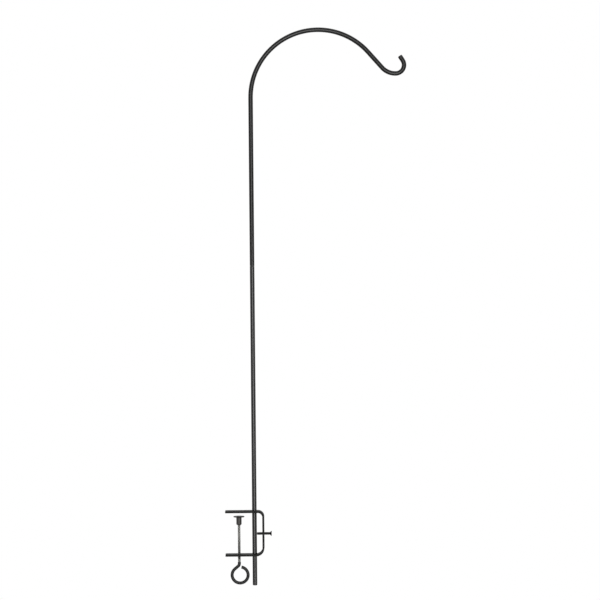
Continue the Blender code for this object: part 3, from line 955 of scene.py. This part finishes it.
class DECKHOOK_OT_stage(bpy.types.Operator):
    """Set the floor, the lamps, the white surroundings and the camera"""

    bl_idname = "deckhook.stage"
    bl_label = "Stage"

    def execute(self, context):
        scene = context.scene
        stage = scene.deck_hook_stage
        self.make_world(scene, stage)
        self.make_floor(stage)
        centre = Vector((stage.centre_x, 0, stage.centre_z))
        key_size = (stage.key_width, stage.key_height)
        panel = (stage.panel, stage.panel)
        self.make_lamp("Key lamp", key_size, stage.key_power, centre, Vector(stage.key_way))
        self.make_lamp("Top lamp", panel, stage.top_power, centre, Vector(stage.top_way))
        self.make_lamp("Back lamp", panel, stage.back_power, centre, Vector(stage.back_way))
        self.make_camera(scene, stage, centre)
        scene.view_settings.view_transform = "Standard"
        return {"FINISHED"}

    def make_world(self, scene, stage):
        """Soft light from all round, behind which the camera sees white."""
        world = bpy.data.worlds.new("White surroundings")
        world.use_nodes = True
        tree = world.node_tree
        tree.nodes.clear()
        soft = add_node(tree, "ShaderNodeBackground", {"Color": (1, 1, 1, 1), "Strength": stage.ambient})
        white = add_node(tree, "ShaderNodeBackground", {"Color": (1, 1, 1, 1), "Strength": 1.0})
        mix = add_node(tree, "ShaderNodeMixShader")
        tree.links.new(self.seen(tree), mix.inputs["Fac"])
        tree.links.new(soft.outputs["Background"], mix.inputs[1])
        tree.links.new(white.outputs["Background"], mix.inputs[2])
        output = add_node(tree, "ShaderNodeOutputWorld")
        tree.links.new(mix.outputs["Shader"], output.inputs["Surface"])
        scene.world = world

    def seen(self, tree):
        """1 for rays from the camera, a reflection or a clear material, and 0 for the rest."""
        path = add_node(tree, "ShaderNodeLightPath")
        value = path.outputs["Is Camera Ray"]
        for name in ("Is Glossy Ray", "Is Transmission Ray"):
            value = arithmetic(tree, "MAXIMUM", value, path.outputs[name])
        return value

    def make_floor(self, stage):
        """A pale floor that keeps the shadow near the hook and fades to white further out."""
        bm = bmesh.new()
        bmesh.ops.create_circle(bm, cap_ends=True, radius=stage.floor_radius, segments=FLOOR_SIDES)
        bmesh.ops.translate(bm, verts=bm.verts, vec=(stage.centre_x, 0, -stage.floor_drop))
        mesh = bpy.data.meshes.new("Floor")
        bm.to_mesh(mesh)
        bm.free()
        floor = bpy.data.objects.new("Floor", mesh)
        bpy.context.scene.collection.objects.link(floor)
        material, tree, shader = material_tree("Pale floor", metallic=0.0, specular=0.1)
        shader.inputs["Base Color"].default_value = (stage.floor_tone, stage.floor_tone, stage.floor_tone, 1)
        shader.inputs["Roughness"].default_value = 0.9
        place = object_place(tree, (stage.centre_x, 0, -stage.floor_drop))
        reach = add_node(tree, "ShaderNodeVectorMath", operation="LENGTH")
        tree.links.new(place, reach.inputs[0])
        white_from = stage.floor_radius * stage.fade_end
        far = spread(tree, reach.outputs["Value"], stage.fade_least, 1, stage.fade_start, white_from)
        shown = arithmetic(tree, "MULTIPLY", far, self.seen(tree))
        white = add_node(tree, "ShaderNodeEmission", {"Color": (1, 1, 1, 1), "Strength": 1.0})
        mix = add_node(tree, "ShaderNodeMixShader")
        tree.links.new(shown, mix.inputs["Fac"])
        tree.links.new(shader.outputs["BSDF"], mix.inputs[1])
        tree.links.new(white.outputs["Emission"], mix.inputs[2])
        tree.links.new(mix.outputs["Shader"], tree.nodes["Material Output"].inputs["Surface"])
        mesh.materials.append(material)

    def make_lamp(self, name, size, watts, centre, way):
        """A rectangular lamp that stands some way from the picture's middle and faces it."""
        light = bpy.data.lights.new(name, "AREA")
        light.shape = "RECTANGLE"
        light.size, light.size_y = size
        light.energy = watts
        lamp = bpy.data.objects.new(name, light)
        lamp.visible_camera = False
        lamp.location = centre + way
        lamp.rotation_euler = (centre - lamp.location).to_track_quat("-Z", "Y").to_euler()
        bpy.context.scene.collection.objects.link(lamp)

    def make_camera(self, scene, stage, centre):
        """A camera level with the picture's middle, rolled by the picture's lean."""
        lens = bpy.data.cameras.new("Camera")
        lens.lens = lens.sensor_width * stage.distance / stage.width
        camera = bpy.data.objects.new("Camera", lens)
        camera.location = centre - Y_AXIS * stage.distance
        level = Y_AXIS.to_track_quat("-Z", "Y").to_matrix()
        camera.rotation_euler = (Matrix.Rotation(stage.roll, 3, "Y") @ level).to_euler()
        scene.collection.objects.link(camera)
        scene.camera = camera


class DECKHOOK_PT_panel(bpy.types.Panel):
    """Lists the pieces of the deck hook and their sizes"""

    bl_idname = "DECKHOOK_PT_panel"
    bl_label = "Deck hook"
    bl_space_type = "VIEW_3D"
    bl_region_type = "UI"
    bl_category = "Deck hook"

    def draw(self, context):
        column = self.layout.column(align=True)
        for operator in OPERATORS:
            column.operator(operator.bl_idname)
        for name in PROPERTY_GROUPS:
            group = getattr(context.scene, name)
            box = self.layout.box()
            box.label(text=group.bl_rna.name)
            for key in group.__annotations__:
                box.prop(group, key)


OPERATORS = (
    DECKHOOK_OT_crook,
    DECKHOOK_OT_lower_pole,
    DECKHOOK_OT_stud,
    DECKHOOK_OT_bracket,
    DECKHOOK_OT_clamp_screw,
    DECKHOOK_OT_socket,
    DECKHOOK_OT_pole_screw,
    DECKHOOK_OT_stage,
)

PROPERTY_GROUPS = {
    "deck_hook_rod": RodSizes,
    "deck_hook_bracket": BracketSizes,
    "deck_hook_clamp": ClampSizes,
    "deck_hook_pole_screw": PoleScrewSizes,
    "deck_hook_finishes": Finishes,
    "deck_hook_stage": StageSettings,
}


def register():
    """Registers the sizes, the operators and the panel."""
    for name, group in PROPERTY_GROUPS.items():
        bpy.utils.register_class(group)
        setattr(bpy.types.Scene, name, PointerProperty(type=group))
    for operator in OPERATORS:
        bpy.utils.register_class(operator)
    bpy.utils.register_class(DECKHOOK_PT_panel)


def unregister():
    """Takes them out again, last one first."""
    bpy.utils.unregister_class(DECKHOOK_PT_panel)
    for operator in reversed(OPERATORS):
        bpy.utils.unregister_class(operator)
    for name, group in reversed(PROPERTY_GROUPS.items()):
        delattr(bpy.types.Scene, name)
        bpy.utils.unregister_class(group)


def main():
    """Builds the hook and its stage."""
    register()
    for operator in OPERATORS:
        group, name = operator.bl_idname.split(".")
        getattr(getattr(bpy.ops, group), name)()


if __name__ == "__main__":
    main()
